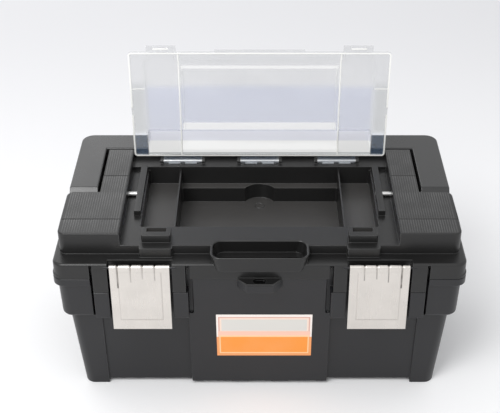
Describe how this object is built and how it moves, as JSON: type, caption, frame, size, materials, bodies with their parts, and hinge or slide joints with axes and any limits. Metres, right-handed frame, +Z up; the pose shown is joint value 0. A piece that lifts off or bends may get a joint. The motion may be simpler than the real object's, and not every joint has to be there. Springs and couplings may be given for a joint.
{
  "type": "portable tool box",
  "caption": "Portable tool box: lidded tub with an organiser under a clear hinged cover, a folding carry handle and stamped front latches.",
  "frame": {"origin": "on the floor, under the middle of the box's footprint", "axes": "+X along the front from left to right, -Y towards the front, +Z up"},
  "size_m": [0.4384, 0.2526, 0.3465],
  "materials": {
    "black_plastic": "fine matt texture, moulded polypropylene",
    "lid_plastic": "fine matt texture, moulded polypropylene",
    "handle_plastic": "fine matt texture, moulded polypropylene",
    "tray_plastic": "matt moulded polypropylene",
    "clear_plastic": "clear gloss moulding, slightly milky",
    "latch_steel": "bright stamped sheet",
    "steel_pin": "bright drawn pin",
    "label": "printed film sticker, without words"
  },
  "bodies": {
    "tub": {"tub_shell": "black_plastic", "front_label": "label", "lift_out_tray": "tray_plastic", "tray_handle": "tray_plastic"},
    "lid": {"lid_shell": "lid_plastic", "bin_divider_left": "lid_plastic", "bin_divider_right": "lid_plastic", "lid_hinge_pin_left": "steel_pin", "lid_hinge_pin_right": "steel_pin", "cover_pin_left": "steel_pin", "cover_pin_centre": "steel_pin", "cover_pin_right": "steel_pin", "handle_pin_left": "steel_pin", "handle_pin_right": "steel_pin", "latch_pin_left": "steel_pin", "latch_pin_right": "steel_pin"},
    "cover": {"clear_cover": "clear_plastic"},
    "handle": {"carry_handle": "handle_plastic"},
    "left_latch": {"latch_left": "latch_steel"},
    "right_latch": {"latch_right": "latch_steel"}
  },
  "joints": [
    {"name": "lid_hinge", "type": "hinge", "parent": "tub", "child": "lid", "pos_m": [0, 0.1218, 0.165], "axis": [-1, 0, 0], "range_deg": [0, 100]},
    {"name": "handle_lift", "type": "hinge", "parent": "lid", "child": "handle", "pos_m": [0, 0, 0.1983], "axis": [1, 0, 0], "range_deg": [0, 90]},
    {"name": "cover_hinge", "type": "hinge", "parent": "lid", "child": "cover", "pos_m": [0, 0.066, 0.2015], "axis": [1, 0, 0], "range_deg": [0, 90]},
    {"name": "latch_left_swing", "type": "hinge", "parent": "lid", "child": "left_latch", "pos_m": [-0.126, -0.114, 0.18], "axis": [-1, 0, 0], "range_deg": [0, 95]},
    {"name": "latch_right_swing", "type": "hinge", "parent": "lid", "child": "right_latch", "pos_m": [0.126, -0.114, 0.18], "axis": [-1, 0, 0], "range_deg": [0, 95]}
  ],
  "couplings": [
    {"joint": "cover_hinge", "follows": "handle_lift", "ratio": 1}
  ]
}
